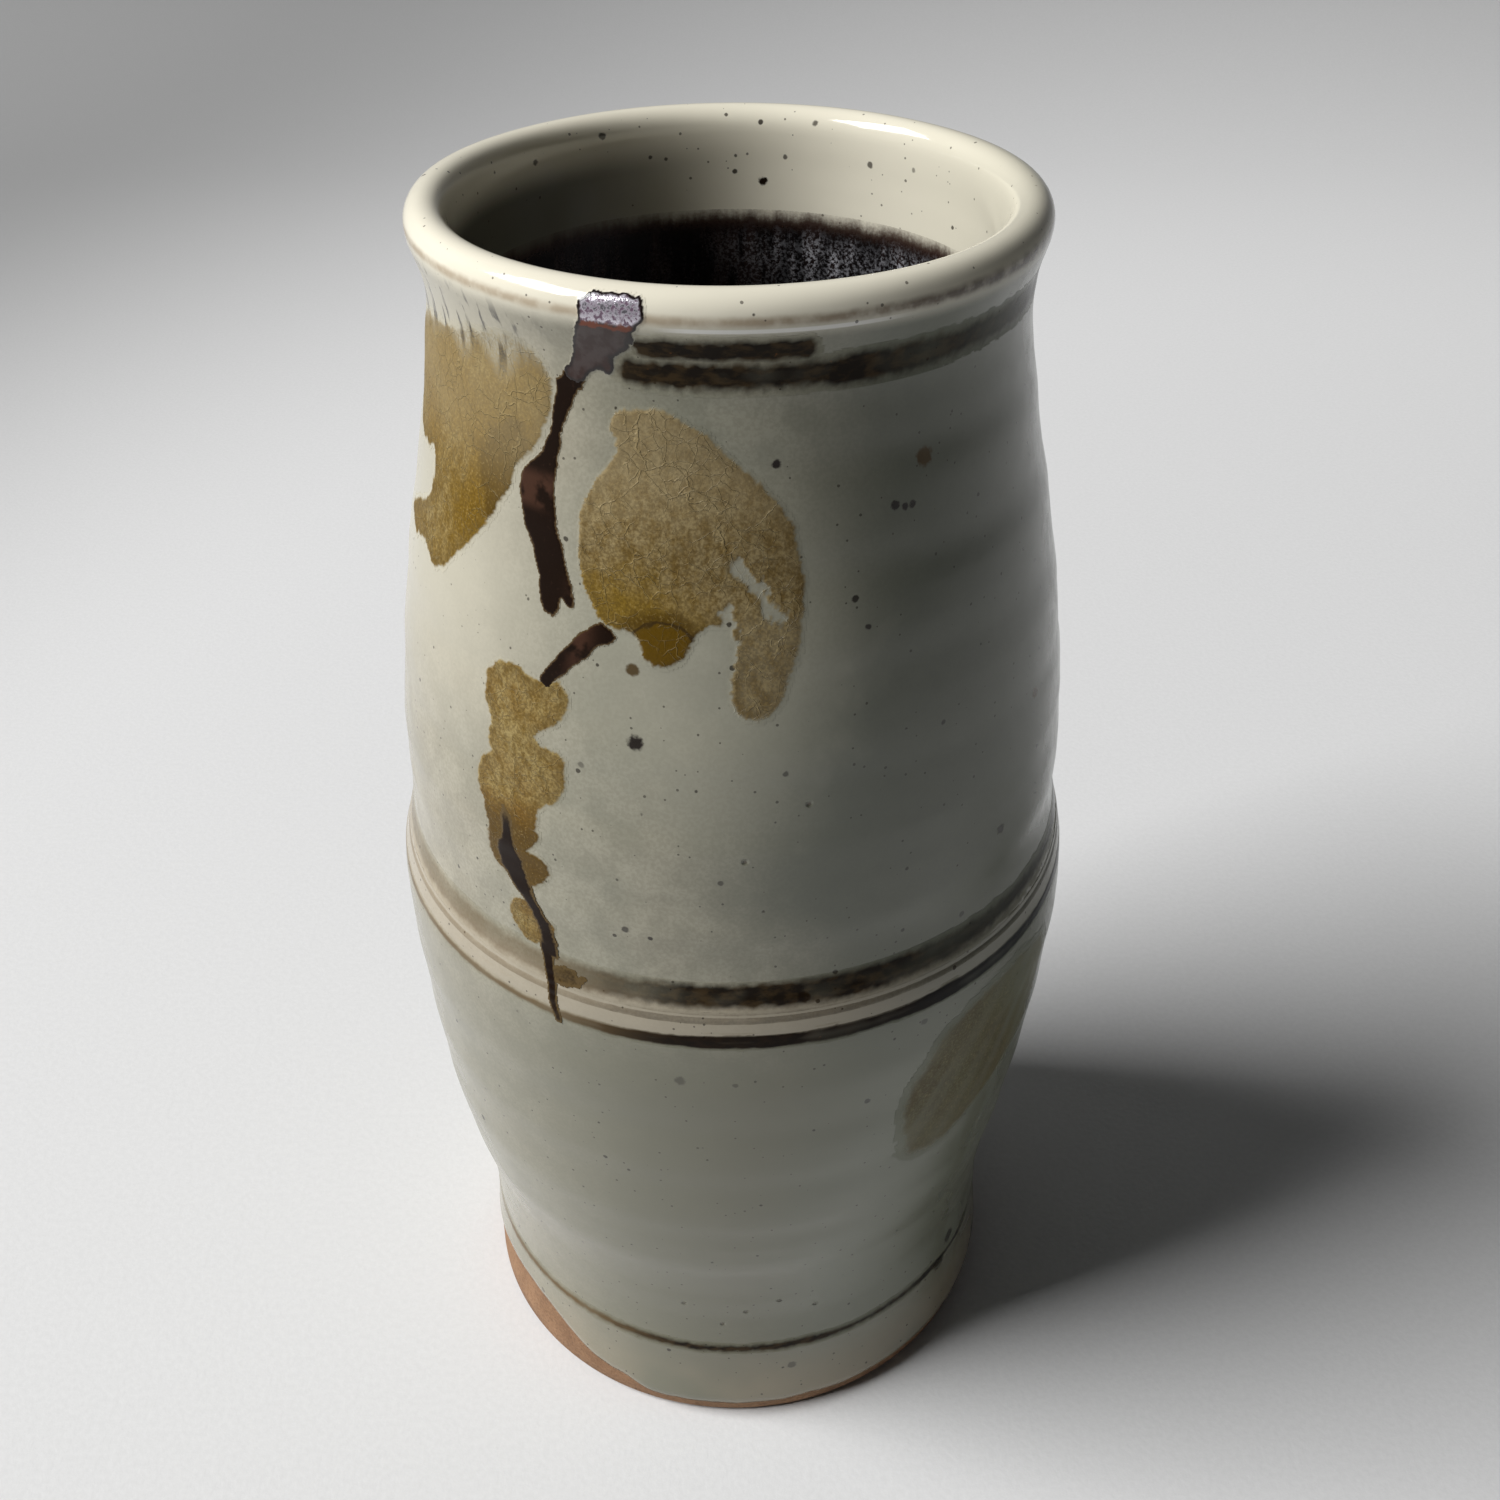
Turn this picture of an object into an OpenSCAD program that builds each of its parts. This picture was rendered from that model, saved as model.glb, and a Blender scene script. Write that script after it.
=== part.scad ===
// Hand-thrown stoneware vase: a clay body, two glazes and the brushwork fused into them.
// Millimetres. +Z is up, the origin is at the centre of the foot, and -Y faces the main leaf.
// Every outline below is a smooth curve through a few driving points.

/* [Size] */
// Height from the foot to the top of the lip
height = 217.5; // [195:0.5:240]
// Radius at the widest place, the ridge round the belly
belly_r = 56.7; // [50:0.1:64]
// Thickness of the wall at the neck
neck_wall = 4.1; // [3:0.1:5]
// Thickness of the wall at the belly
belly_wall = 5.8; // [4.5:0.1:7.5]
// Height of the inside floor over the table
floor_z = 10; // [8:0.5:14]

/* [Foot] */
// Height of the hollow turned under the foot
recess_h = 3.2; // [2:0.1:4]
// Width of the ring that touches the table
ring_w = 7.5; // [5:0.5:12]

/* [Glaze] */
// Thickness of the dipped and the poured glaze
glaze_t = 0.6; // [0.4:0.1:1]
// How far the brushed lines stand proud of the glaze
band_t = 0.2; // [0.15:0.05:0.4]
// How far the brushed leaves and stems stand proud of the glaze
film_t = 0.25; // [0.2:0.05:0.5]
// Depth below the lip at which the dark inner glaze begins
collar_depth = 16.5; // [12:0.5:24]
// Height of the glaze edge over the table, away from the finger mark
glaze_edge_z = 2.4; // [1.6:0.1:6]

/* [Lines] */
// Height of the dark line on the corner of the ridge, as a share of the whole height
ridge_line_share = 0.498; // [0.49:0.001:0.5]
// Height of the soft line above the ridge, as a share of the whole height
soft_line_share = 0.533; // [0.525:0.001:0.54]
// Height of the line round the foot, as a share of the whole height
foot_line_share = 0.09; // [0.06:0.005:0.13]

/* [Hidden] */
$fn = 96;

clay_colour = "#a9764c";
pale_colour = "#b5b5a3";
liner_colour = "#17120f";
brown_colour = "#3a2418";
ochre_colour = "#94793f";

steps = 3;          // straight runs between two driving points of a profile
outline_steps = 3;  // the same for a brushed outline

// Profiles and outlines are drawn for a vase of this size and stretched to the one asked for
drawn_height = 217.5;
drawn_belly_r = 56.7;
stretch = [belly_r / drawn_belly_r, height / drawn_height];
function stretched(p) = [p[0] * stretch[0], p[1] * stretch[1]];

// ---- Smooth curve through points, with tangents weighted by chord length ----

function at(p, i, closed) = closed ? p[(i + len(p)) % len(p)] : p[i];

function tangent(p, i, closed) =
    !closed && i == 0 ? (p[1] - p[0]) / norm(p[1] - p[0])
    : !closed && i == len(p) - 1 ? (p[i] - p[i - 1]) / norm(p[i] - p[i - 1])
    : let (before = at(p, i, closed) - at(p, i - 1, closed),
           after = at(p, i + 1, closed) - at(p, i, closed),
           a = norm(before),
           b = norm(after))
      (before * b / a + after * a / b) / (a + b);

function between(p, i, t, closed) =
    let (from = at(p, i, closed),
         to = at(p, i + 1, closed),
         h = norm(to - from))
    (2 * t ^ 3 - 3 * t ^ 2 + 1) * from + (t ^ 3 - 2 * t ^ 2 + t) * h * tangent(p, i, closed)
    + (3 * t ^ 2 - 2 * t ^ 3) * to
    + (t ^ 3 - t ^ 2) * h * tangent(p, (i + 1) % len(p), closed);

function open_curve(p, n) =
    concat([for (i = [0 : len(p) - 2]) for (j = [0 : n - 1]) between(p, i, j / n, false)],
           [p[len(p) - 1]]);

function closed_curve(p, n) =
    [for (i = [0 : len(p) - 1]) for (j = [0 : n - 1]) between(p, i, j / n, true)];

function reversed(p) = [for (i = [len(p) - 1 : -1 : 0]) p[i]];

// Unit normal on the right of the direction of travel, which points out of the clay
function outward(p, i) =
    let (d = p[min(i + 1, len(p) - 1)] - p[max(i - 1, 0)])
    [d[1], -d[0]] / norm(d);

function moved(p, distance) = [for (i = [0 : len(p) - 1]) p[i] + distance * outward(p, i)];

// ---- Profile: [radius, height] of the glazed surface ----

// Up the outside, from just above the table to the neck
outside_points = [
    [49.3, 1], [49.5, 5], [48.8, 12], [48.4, 22], [48.6, 31], [49.3, 36.5], [50.4, 42.5],
    [52.6, 54], [54.8, 72], [56.2, 90], [56.7, 102], [56.2, 108.6], [55.1, 113], [54, 118],
    [53.5, 122.5], [53.6, 128], [52, 148], [49.2, 165.5], [44.7, 187], [42.8, 199],
    [42.35, 204.5], [42.8, 208.5]
];
// Over the rolled lip
lip_points = [
    [43.7, 211.5], [44.35, 214.1], [43.9, 216], [42.6, 217.2], [41.2, 217.5], [39.6, 217],
    [38.5, 215.6], [38.2, 213], [38.2, 208.5]
];
neck_r = 42.35 * stretch[0];
foot_r = 49.3 * stretch[0];
// Down the inside to the middle of the floor
inside_points = [
    [neck_r - neck_wall + 0.2, height - collar_depth],
    [44.7 * stretch[0] - neck_wall - 1, 187 * stretch[1]],
    [49.2 * stretch[0] - belly_wall + 0.4, 165.5 * stretch[1]],
    [52 * stretch[0] - belly_wall + 0.2, 148 * stretch[1]],
    [53.6 * stretch[0] - belly_wall, 125 * stretch[1]],
    [belly_r - belly_wall, 102 * stretch[1]],
    [54.8 * stretch[0] - belly_wall, 74 * stretch[1]],
    [52.6 * stretch[0] - belly_wall - 0.4, 54 * stretch[1]],
    [foot_r - 6.2, 38 * stretch[1]], [foot_r - 7.8, 28 * stretch[1]],
    [foot_r - 10.5, floor_z + 8], [foot_r - 16, floor_z + 2.6], [foot_r - 27, floor_z + 0.4],
    [8, floor_z], [0, floor_z]
];

skin = open_curve(
    concat([for (p = concat(outside_points, lip_points)) stretched(p)], inside_points), steps);
neck_i = (len(outside_points) - 1) * steps;
lip_end_i = neck_i + len(lip_points) * steps;
collar_i = (len(outside_points) + len(lip_points)) * steps;
last_i = len(skin) - 1;

// The clay surface lies one glaze thickness inside the skin and ends on the axis
clay_skin = [for (i = [0 : last_i])
    i == last_i ? skin[i] - [0, glaze_t] : skin[i] - glaze_t * outward(skin, i)];

function part(p, first, last) = [for (i = [first : last]) p[i]];

// ---- Films on the glaze ----

outside_table = [for (i = [0 : neck_i + 2 * steps]) [skin[i][1], skin[i][0]]];

function film_section(z_low, z_high, t) =
    let (line = concat([[lookup(z_low, outside_table), z_low]],
                       [for (row = outside_table)
                           if (row[0] > z_low + 0.05 && row[0] < z_high - 0.05) [row[1], row[0]]],
                       [[lookup(z_high, outside_table), z_high]]))
    concat(line, reversed([for (p = line) p + [t, 0]]));

module band(z_mid, width, from = 0, sweep = 360) {
    rotate([0, 0, from - 90])
        rotate_extrude(angle = sweep)
            polygon(film_section(z_mid - width / 2, z_mid + width / 2, band_t));
}

// Everything that a flat outline covers when it is pushed straight in from one side. The outline
// is [distance to the right, height], and facing is the side's bearing from the front.
module stamp(facing) {
    rotate([0, 0, facing])
        translate([0, -20, 0])
            rotate([90, 0, 0])
                linear_extrude(height = 50)
                    children();
}

module blob(points) {
    polygon(closed_curve([for (p = points) stretched(p)], outline_steps));
}

// A thin skin on the glaze between two drawn heights, cut to the children's flat outline
module film(z_low, z_high, facing) {
    intersection() {
        rotate_extrude()
            polygon(film_section(z_low * stretch[1], z_high * stretch[1], film_t));
        stamp(facing) children();
    }
}

stem_facing = -35;
left_leaf_facing = -55;
right_leaf_facing = -7;
spot_facing = -20;
low_leaf_facing = 48;
finger_mark_facing = -57;

// ---- Outlines of the brushwork, as drawn: [across, height] ----

finger_mark = [[-30, -2], [-26, 4.6], [-14, 9.5], [-2, 11.6], [6, 11], [13, 8.6], [20, 5.4],
               [28, 3.7], [30, -2]];
spot_outline = [[-3.4, 213.6], [-3.2, 215.8], [-1.4, 216.8], [2, 216.9], [5, 216.5], [5.2, 214.6],
                [3.4, 212.2], [2.4, 209.8], [0.5, 208.6], [-0.1, 206.4], [-1.2, 207.1],
                [-4.2, 204.8], [-6, 204.9], [-4.9, 207.8], [-4.2, 211]];
upper_stem_outline = [[4.9, 205.4], [7.4, 205.4], [5.9, 202.6], [4.3, 199], [3.7, 196],
                      [3.3, 192.8], [3.1, 189.7], [3.7, 185.8], [4.8, 182.2], [5.9, 179.2],
                      [6.8, 175], [5.3, 176.2], [4.3, 173.4], [2.7, 174.3], [2, 177.4],
                      [1, 181.2], [-0.7, 184.7], [-1.8, 188], [-1.9, 190], [-1.2, 191.7],
                      [0.4, 193], [1.8, 195.3], [3.2, 199.5]];
lower_stem_outline = [[11.4, 173.6], [12.5, 173.2], [13.3, 172.3], [12.7, 171.7], [11.4, 171.1],
                      [9.6, 169.1], [7.4, 166.9], [5.2, 164.6], [3.9, 163], [3, 163.6],
                      [4.2, 165.9], [6, 168.2], [7.8, 170.4], [10, 172.9]];
left_leaf_outline = [[-18.5, 201], [-12, 204], [-3, 205.6], [6, 207.4], [11.5, 208], [15.4, 206.8],
                     [17, 203.4], [16.4, 199], [14.6, 194.6], [12.6, 192.6], [11.2, 188.2],
                     [7.4, 182], [3.2, 177.2], [-1, 173.6], [-4.4, 170.8], [-9, 172.6],
                     [-16.4, 172], [-19, 173.4], [-12, 177.4], [-8.4, 180.2], [-8, 187.2],
                     [-13.4, 186], [-17.4, 188], [-19, 194]];
right_leaf_outline = [[-9.6, 200.6], [-8, 201.8], [-2.4, 201.6], [2.2, 199.4], [6.8, 195.2],
                      [11.4, 190.4], [13.8, 184], [14.8, 178.4], [13.9, 169.6], [11, 162.9],
                      [8.8, 162], [6.3, 163.4], [5.6, 166], [6.4, 171], [4.6, 175.4], [1.2, 174.2],
                      [-0.4, 170.6], [-3.2, 169], [-5.6, 170.2], [-7.2, 172.9], [-11.2, 174],
                      [-13.8, 178.2], [-14.5, 184], [-12, 192.4], [-9, 196.4]];
spray_outline = [[-6.9, 161], [-5, 163.4], [-1.4, 164.4], [2.4, 163.2], [5.6, 164.2], [7.1, 162],
                 [5.8, 158.4], [2.3, 155], [3.4, 153.8], [6.2, 153.6], [7, 150], [6.2, 146.6],
                 [2.8, 143.6], [2.2, 141], [2.8, 138.2], [0.6, 135.6], [3.6, 134.9], [4.3, 133],
                 [3, 130.8], [-0.7, 129.2], [-3.6, 130], [-6.2, 132.4], [-6.4, 137.6],
                 [-7.2, 140.8], [-8.6, 144.6], [-7.6, 147.6], [-5.4, 149.6], [-6.3, 152.2],
                 [-5.4, 154.6], [-6.8, 157.4]];
petal_outline = [[-3, 123.2], [-1.6, 125.2], [0.2, 125.7], [2.6, 124.4], [4.6, 122.8], [3.7, 120.4],
                 [1, 118.7], [-1.6, 119.8]];
streak_outline = [[-3.4, 141.4], [-3.8, 139], [-3.9, 136.4], [-5, 133.6], [-4.2, 131.2],
                  [-1, 127.6], [1.2, 124.6], [3.1, 119.9], [4.3, 116], [5.4, 115.4], [5.1, 119.2],
                  [3.9, 123.2], [1, 128.8], [-0.3, 133.2], [-2, 137.4], [-2.6, 141]];
low_leaf_outline = [[16, 100.4], [9, 103.4], [0, 103.6], [-7.6, 101.6], [-13, 98.8], [-16, 93.6],
                    [-17.8, 86], [-17.9, 78], [-16, 72.2], [-11, 69.6], [-3.4, 72.4], [4, 76],
                    [10.8, 80.4], [15, 85.4], [17.4, 92.8]];

// ---- One module per sub-part ----

module clay_body() {
    ring_in = foot_r - 2 - ring_w;
    underside = [[0, recess_h], [ring_in - 5, recess_h], [ring_in - 2, recess_h - 0.6],
                 [ring_in - 0.5, 0.5], [ring_in, 0], [foot_r - 1.6, 0], [foot_r - 0.9, 0.3]];
    color(clay_colour)
        rotate_extrude()
            polygon(concat(underside, clay_skin));
}

module dip_glaze() {
    color(pale_colour)
        difference() {
            rotate_extrude()
                polygon(concat(part(skin, 0, collar_i), reversed(part(clay_skin, 0, collar_i))));
            translate([0, 0, glaze_edge_z - 10])
                cylinder(h = 10, r = foot_r + 5);
            stamp(finger_mark_facing) blob(finger_mark);
        }
}

module liner_glaze() {
    color(liner_colour)
        rotate_extrude()
            polygon(concat(part(skin, collar_i, last_i),
                           reversed(part(clay_skin, collar_i, last_i))));
}

module neck_band_upper() {
    color(brown_colour) band(210.4 * stretch[1], 1.6, -14.5, 29);
}

module neck_band_lower() {
    color(brown_colour) band(207 * stretch[1], 2.6, -17.5, 270);
}

module belly_band_upper() {
    color(brown_colour) band(soft_line_share * height, 2.2);
}

module belly_band_middle() {
    color(brown_colour) band((soft_line_share + ridge_line_share) / 2 * height, 0.8);
}

module belly_band_lower() {
    color(brown_colour) band(ridge_line_share * height, 1.4);
}

module foot_band() {
    color(brown_colour) band(foot_line_share * height, 0.9);
}

module rim_iron_spot() {
    over_lip = part(skin, neck_i - 2 * steps, lip_end_i - 3 * steps);
    color(brown_colour)
        intersection() {
            rotate_extrude()
                polygon(concat(over_lip, reversed(moved(over_lip, film_t))));
            stamp(spot_facing) blob(spot_outline);
        }
}

module upper_stem() {
    color(brown_colour)
        difference() {
            film(172, 207, stem_facing) blob(upper_stem_outline);
            stamp(spot_facing) blob(spot_outline);
        }
}

module lower_stem() {
    color(brown_colour) film(162, 175, stem_facing) blob(lower_stem_outline);
}

module left_leaf() {
    color(ochre_colour) film(169, 209, left_leaf_facing) blob(left_leaf_outline);
}

module right_leaf() {
    color(ochre_colour) film(160, 204, right_leaf_facing) blob(right_leaf_outline);
}

module flower_spray() {
    color(ochre_colour)
        film(117.4, 166, stem_facing)
            difference() {
                union() {
                    blob(spray_outline);
                    blob(petal_outline);
                }
                blob(streak_outline);
                blob(lower_stem_outline);
            }
}

// The streak's tail stops at the soft line of the belly
module spray_streak() {
    color(brown_colour) film(117.6, 143, stem_facing) blob(streak_outline);
}

module low_leaf() {
    color(ochre_colour) film(68, 105, low_leaf_facing) blob(low_leaf_outline);
}

clay_body();
dip_glaze();
liner_glaze();
neck_band_upper();
neck_band_lower();
belly_band_upper();
belly_band_middle();
belly_band_lower();
foot_band();
rim_iron_spot();
upper_stem();
lower_stem();
left_leaf();
right_leaf();
flower_spray();
spray_streak();
low_leaf();
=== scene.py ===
"""Looks of a hand-thrown stoneware vase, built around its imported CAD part.

The CAD nodes give every size. Their surface is sampled into one smooth profile, and each piece here
is a finer version of the node that it replaces, on that profile: clay, glazes and brushwork.

A place on the vase is given by az, the bearing round the axis from the front (-Y) towards the right
(+X), and by s, the distance in mm along the profile from the top of the lip. It is negative down
the outside and positive down the inside. Lengths are mm until a mesh or a lamp is made, in metres.
"""

import math

import bpy
import numpy as np
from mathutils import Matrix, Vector
from mathutils.bvhtree import BVHTree
from mathutils.kdtree import KDTree


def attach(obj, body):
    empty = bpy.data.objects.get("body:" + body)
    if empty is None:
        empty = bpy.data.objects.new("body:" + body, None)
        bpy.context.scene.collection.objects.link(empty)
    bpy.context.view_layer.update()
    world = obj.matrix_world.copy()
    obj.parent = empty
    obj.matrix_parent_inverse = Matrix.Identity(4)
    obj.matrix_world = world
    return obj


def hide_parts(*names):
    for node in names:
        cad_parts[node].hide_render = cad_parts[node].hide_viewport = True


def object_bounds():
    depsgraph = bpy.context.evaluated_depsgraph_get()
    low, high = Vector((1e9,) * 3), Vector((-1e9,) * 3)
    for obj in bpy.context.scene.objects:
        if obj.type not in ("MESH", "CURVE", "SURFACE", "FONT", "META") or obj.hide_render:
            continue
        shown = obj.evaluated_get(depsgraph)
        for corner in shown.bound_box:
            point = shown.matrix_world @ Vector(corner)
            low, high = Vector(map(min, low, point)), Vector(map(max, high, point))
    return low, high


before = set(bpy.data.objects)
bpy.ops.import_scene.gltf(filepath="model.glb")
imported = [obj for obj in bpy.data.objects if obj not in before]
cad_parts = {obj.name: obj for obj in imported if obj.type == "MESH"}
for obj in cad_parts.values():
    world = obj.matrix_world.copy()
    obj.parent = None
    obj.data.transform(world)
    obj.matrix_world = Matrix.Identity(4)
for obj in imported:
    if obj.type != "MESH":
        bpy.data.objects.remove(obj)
cad_low, cad_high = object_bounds()

MM = 0.001
HEIGHT = (cad_high[2] - cad_low[2]) / MM
DRAWN_HEIGHT = 217.5          # the places below are for a vase of this height
UNIT = HEIGHT / DRAWN_HEIGHT
MEAN_R = 50.0                 # turns a bearing into a rough distance round the vase
TURN = 2 * math.pi
FINE = 1.0
COLUMNS = int(256 * max(FINE, 0.6))
GLAZE_COLUMNS = int(360 * max(FINE, 0.6))


# ---- Small numeric helpers ----

def smoothstep(low, high, value):
    t = np.clip((value - low) / (high - low), 0.0, 1.0)
    return t * t * (3.0 - 2.0 * t)


def hump(value, middle, width):
    return np.exp(-((value - middle) / width) ** 2)


def value_noise(u, v, seed, around):
    """Smooth noise between -1 and 1, on a lattice that repeats in u after around cells."""
    cell_u, cell_v = np.floor(u), np.floor(v)
    fu, fv = u - cell_u, v - cell_v
    fu, fv = fu * fu * (3 - 2 * fu), fv * fv * (3 - 2 * fv)

    def corner(du, dv):
        n = np.sin(np.mod(cell_u + du, around) * 127.1 + (cell_v + dv) * 311.7 + seed * 74.7)
        n = n * 43758.5453
        return n - np.floor(n)

    low = corner(0, 0) * (1 - fu) + corner(1, 0) * fu
    high = corner(0, 1) * (1 - fu) + corner(1, 1) * fu
    return 2 * (low * (1 - fv) + high * fv) - 1


def cloud(az, s, size, seed, octaves=3, stretch=1.0):
    """Fractal noise on the surface. size is the largest cell in mm, stretch makes cells taller."""
    total, weight, scale = 0.0, 0.0, 1.0
    for octave in range(octaves):
        around = max(4, round(TURN * MEAN_R / size * scale))
        u = (az / TURN + 0.5) * around
        v = s / (size * stretch) * scale
        total = total + value_noise(u, v, seed + 17 * octave, around) / scale
        weight += 1 / scale
        scale *= 2
    return total / weight * 1.4


# ---- The profile, sampled from the CAD glazes on a side with no brushwork ----

SAMPLE_AZ = math.radians(165)
BEYOND = 90                   # farther out than any surface, where rays start


def node_mesh(name):
    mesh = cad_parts[name].data
    points = np.array([v.co[:] for v in mesh.vertices]) / MM
    return points, [tuple(p.vertices) for p in mesh.polygons]


def tree_of(*names):
    points, faces = [], []
    for name in names:
        p, f = node_mesh(name)
        faces += [tuple(i + len(points) for i in face) for face in f]
        points += [Vector(q) for q in p.tolist()]
    return BVHTree.FromPolygons(points, faces)


def on_plane(az, r, z):
    return Vector((r * math.sin(az), -r * math.cos(az), z))


def hit(tree, az, start, end):
    """First place, as (r, z), where a ray between two (r, z) points meets the tree."""
    a, b = on_plane(az, *start), on_plane(az, *end)
    place = tree.ray_cast(a, (b - a).normalized(), (b - a).length)[0]
    return None if place is None else (math.hypot(place.x, place.y), place.z)


def sample_profile():
    glaze = tree_of("dip_glaze", "liner_glaze")
    glaze_low = node_mesh("dip_glaze")[0][:, 2].min()
    lip_z = HEIGHT - 4.5 * UNIT
    outer = hit(glaze, SAMPLE_AZ, (BEYOND, lip_z), (0, lip_z))[0]
    inner = hit(glaze, SAMPLE_AZ, (0, lip_z), (BEYOND, lip_z))[0]
    lip_r = (outer + inner) / 2
    path = [hit(glaze, SAMPLE_AZ, (BEYOND, z), (0, z))
            for z in np.arange(glaze_low + 0.3, lip_z, 0.3)]
    for angle in np.radians(np.arange(0, 181, 3)):
        far = (lip_r + 30 * math.cos(angle), lip_z + 30 * math.sin(angle))
        path.append(hit(glaze, SAMPLE_AZ, far, (lip_r, lip_z)))
    floor_z = hit(glaze, SAMPLE_AZ, (0.5, BEYOND), (0.5, 1))[1]
    path += [hit(glaze, SAMPLE_AZ, (0, z), (BEYOND, z))
             for z in np.arange(lip_z - 0.3, floor_z + 4, -0.3)]
    last_r = path[-1][0]
    path += [hit(glaze, SAMPLE_AZ, (r, BEYOND), (r, 1))
             for r in np.arange(last_r - 0.3, 0.3, -0.3)]
    path = np.array([p for p in path if p is not None] + [(0.0, floor_z)])

    # Even steps, then a light smoothing that takes the corners off the CAD's straight runs
    step, reach, softness = 0.2, 16, 0.9
    along = np.concatenate([[0], np.cumsum(np.hypot(*np.diff(path, axis=0).T))])
    even = np.arange(0, along[-1], step)
    path = np.stack([np.interp(even, along, path[:, k]) for k in (0, 1)], axis=1)
    kernel = np.exp(-(np.arange(-reach, reach + 1) * step / softness) ** 2 / 2)
    kernel /= kernel.sum()
    for k in (0, 1):
        first, last = path[0, k], path[-1, k]
        padded = np.concatenate([2 * first - path[reach:0:-1, k], path[:, k],
                                 2 * last - path[-2:-reach - 2:-1, k]])
        path[:, k] = np.convolve(padded, kernel, "valid")
    path[-1, 0] = 0.0
    return path[:, 0], path[:, 1]


profile_r, profile_z = sample_profile()
profile_s = np.concatenate([[0], np.cumsum(np.hypot(np.diff(profile_r), np.diff(profile_z)))])
lip_top = int(np.argmax(profile_z))
profile_s -= profile_s[lip_top]
slope_r, slope_z = np.gradient(profile_r, profile_s), np.gradient(profile_z, profile_s)

S_LOW, S_HIGH = profile_s[0], profile_s[-1]
S_COLLAR = np.interp(-node_mesh("liner_glaze")[0][:, 2].max(), -profile_z[lip_top:],
                     profile_s[lip_top:])


def s_outside(z):
    """Distance along the profile of a height on the outside. Below the sample it carries on."""
    s = np.interp(z, profile_z[:lip_top], profile_s[:lip_top])
    return s + np.minimum(0.0, z - profile_z[0])


def height_at(s):
    return np.interp(s, profile_s, profile_z) + np.minimum(0.0, s - S_LOW)


def s_inside(z):
    return np.interp(-z, -profile_z[lip_top:], profile_s[lip_top:])


def outward(s):
    """The outline's normal at s, as (r, z)."""
    return np.interp(s, profile_s, slope_z), -np.interp(s, profile_s, slope_r)


S_TOAST = s_outside(HEIGHT - 3.15 * UNIT)    # the lip's lower edge, where glaze runs thin


# ---- How the real pot departs from a perfect turning ----

LIP_TILT = 1.75 * UNIT        # the lip is this much high at the front and low at the back
SAG = 0.45 * UNIT             # the low belly leans this much to the left
RIDGE_Z = 111.8               # height of the ridge round the belly


def throwing_rings(s, az):
    z = height_at(s)
    rings = 0.022 * np.sin(TURN * s / 7.3 + az)
    rings += 0.02 * np.sin(TURN * s / 3.9 + 2 * az + 1.0) * (0.6 + 0.4 * np.sin(s / 17))
    rings += 0.09 * np.sin(TURN * s / 15.5 - az + 2.2)
    rings += 0.05 * hump(z, RIDGE_Z * UNIT, 3.2) * np.sin(TURN * s / 1.7)
    lip = hump(s, 0, 9)
    rings -= 0.12 * hump(s, S_TOAST - 0.5, 0.55) * (1 + 0.5 * np.sin(3 * az))
    uneven = 0.12 * cloud(az, s, 34, 3, 1)
    return np.where(s < 0, rings, 0.7 * rings) * (1 - 0.75 * lip) + uneven


def skin(s, az, lift=0.0):
    """Points in mm on the finished surface, lifted off it along its normal."""
    s, az = np.broadcast_arrays(np.asarray(s, float), np.asarray(az, float))
    r = np.interp(s, profile_s, profile_r)
    z = height_at(s)
    out_r, out_z = outward(s)
    lift = lift + throwing_rings(s, az) * smoothstep(0.0, 6.0, r)
    r = r + out_r * lift
    z = z + out_z * lift
    high = smoothstep(120 * UNIT, 215 * UNIT, z)
    r = r + 0.7 * high * np.maximum(0.0, np.cos(az - 2.6)) ** 2 * (r > 20)
    x, y = r * np.sin(az), -r * np.cos(az)
    x = x - SAG * hump(z, 55 * UNIT, 20 * UNIT)
    z = z + LIP_TILT * np.cos(az) * high
    return np.stack([x, y, z], axis=-1)


# ---- Meshes ----

def new_object(name, data):
    obj = bpy.data.objects.new(name, data)
    bpy.context.scene.collection.objects.link(obj)
    return obj


def make_object(name, points, faces, attributes, sharp_from=None):
    """A smooth-shaded mesh. Faces from number sharp_from on are walls, with sharp edges."""
    mesh = bpy.data.meshes.new(name)
    mesh.from_pydata((points * MM).tolist(), [], faces)
    if sharp_from is not None:
        walls = set(key for face in mesh.polygons[sharp_from:] for key in face.edge_keys)
        mesh.edges.foreach_set("use_edge_sharp", [edge.key in walls for edge in mesh.edges])
    for key, values in attributes.items():
        layer = mesh.attributes.new(key, "FLOAT", "POINT")
        layer.data.foreach_set("value", np.ascontiguousarray(values, dtype=np.float32))
    mesh.polygons.foreach_set("use_smooth", [True] * len(mesh.polygons))
    mesh.validate()
    mesh.update()
    return new_object(name, mesh)


def hand_in(obj, slot, material, *nodes):
    obj.data.materials.append(material)
    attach(obj, "root")
    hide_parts(*nodes)


def quads(rows, columns, close_rows):
    i = np.arange(rows if close_rows else rows - 1)[:, None]
    j = np.arange(columns)[None, :]
    right, up = (j + 1) % columns, (i + 1) % rows
    return np.stack([i * columns + j, i * columns + right, up * columns + right,
                     up * columns + j], axis=-1).reshape(-1, 4).tolist()


def turned(name, points, along, poles=False):
    """A closed shell from rows of points round the axis. With poles, both ends close on it."""
    rows, columns = points.shape[:2]
    faces = quads(rows, columns, not poles)
    flat, along = points.reshape(-1, 3), along.reshape(-1)
    if poles:
        first, last = points[0].mean(axis=0), points[-1].mean(axis=0)
        low, high, base = len(flat), len(flat) + 1, (rows - 1) * columns
        flat = np.concatenate([flat, [first, last]])
        along = np.concatenate([along, [along[0], along[-1]]])
        for j in range(columns):
            k = (j + 1) % columns
            faces += [[low, k, j], [high, base + j, base + k]]
    return make_object(name, flat, faces, {"along": along})


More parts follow.
